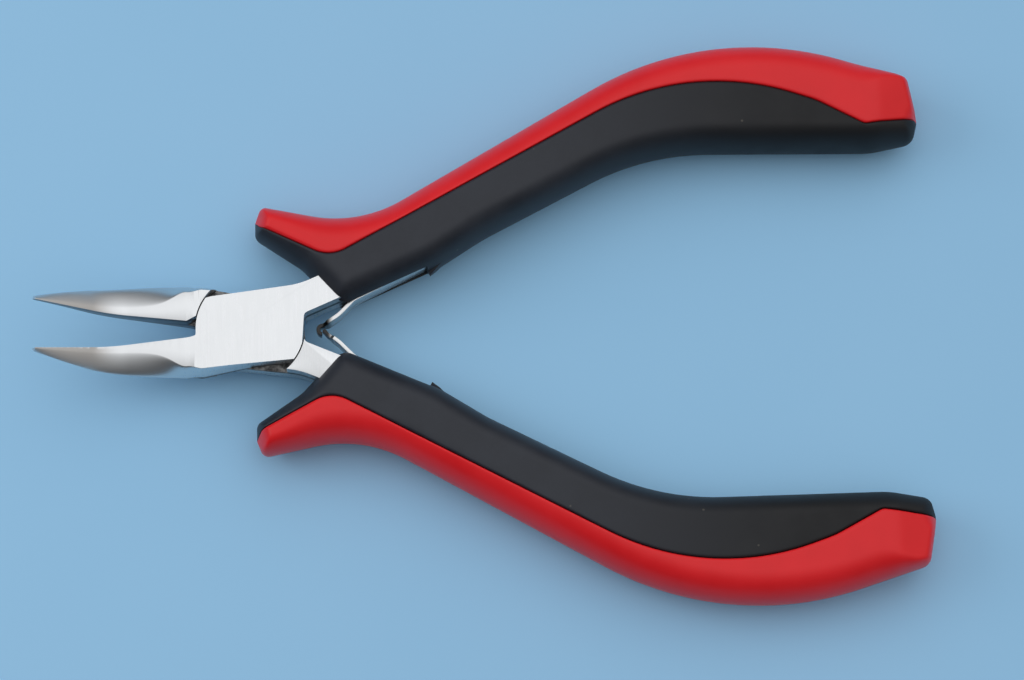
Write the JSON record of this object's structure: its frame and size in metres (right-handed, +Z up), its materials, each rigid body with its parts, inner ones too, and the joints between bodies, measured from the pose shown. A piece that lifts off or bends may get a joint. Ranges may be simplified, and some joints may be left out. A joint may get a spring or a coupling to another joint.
{
  "type": "bent nose pliers",
  "caption": "Small sprung pliers with slim upturned jaws, a lap joint, two-colour moulded grips and hooked leaf springs that hold the handles open.",
  "frame": {"origin": "centre of the bounding box at the height of the grips' undersides, where the pliers lie", "axes": "+X towards the handles' ends, along the pliers' length; +Z up, the side that the noses bend to"},
  "size_m": [0.1304, 0.0836, 0.0165],
  "materials": {
    "steel": "fine ground flats, smoother rounded jaws",
    "spring_steel": "bright rolled strip",
    "red_plastic": "satin moulded",
    "black_rubber": "matt moulded"
  },
  "bodies": {
    "front_handle": {"front_half": "steel", "pivot_rivet": "steel", "front_leaf_rivet": "spring_steel", "front_grip_shell": "red_plastic", "front_grip_pad": "black_rubber"},
    "back_handle": {"back_half": "steel", "back_leaf_rivet": "spring_steel", "back_grip_shell": "red_plastic", "back_grip_pad": "black_rubber"},
    "front_leaf": {"front_leaf_spring": "spring_steel"},
    "back_leaf": {"back_leaf_spring": "spring_steel"}
  },
  "joints": [
    {"name": "pivot", "type": "hinge", "parent": "front_handle", "child": "back_handle", "pos_m": [-0.03438, 0, 0.0059], "axis": [0, 0, 1], "range_deg": [-3, 13.2], "stiffness_Nm_per_rad": 1.2},
    {"name": "front_leaf_flex", "type": "hinge", "parent": "front_handle", "child": "front_leaf", "pos_m": [-0.01923, 0.00428, 0.0059], "axis": [0, 0, 1], "range_deg": [-13, 3], "deforming": ["front_leaf_spring"]},
    {"name": "back_leaf_flex", "type": "hinge", "parent": "back_handle", "child": "back_leaf", "pos_m": [-0.01923, -0.00428, 0.0059], "axis": [0, 0, 1], "range_deg": [-3, 13], "deforming": ["back_leaf_spring"]}
  ],
  "couplings": [
    {"joint": "front_leaf_flex", "follows": "pivot", "ratio": -0.95},
    {"joint": "back_leaf_flex", "follows": "pivot", "ratio": 0.95}
  ]
}
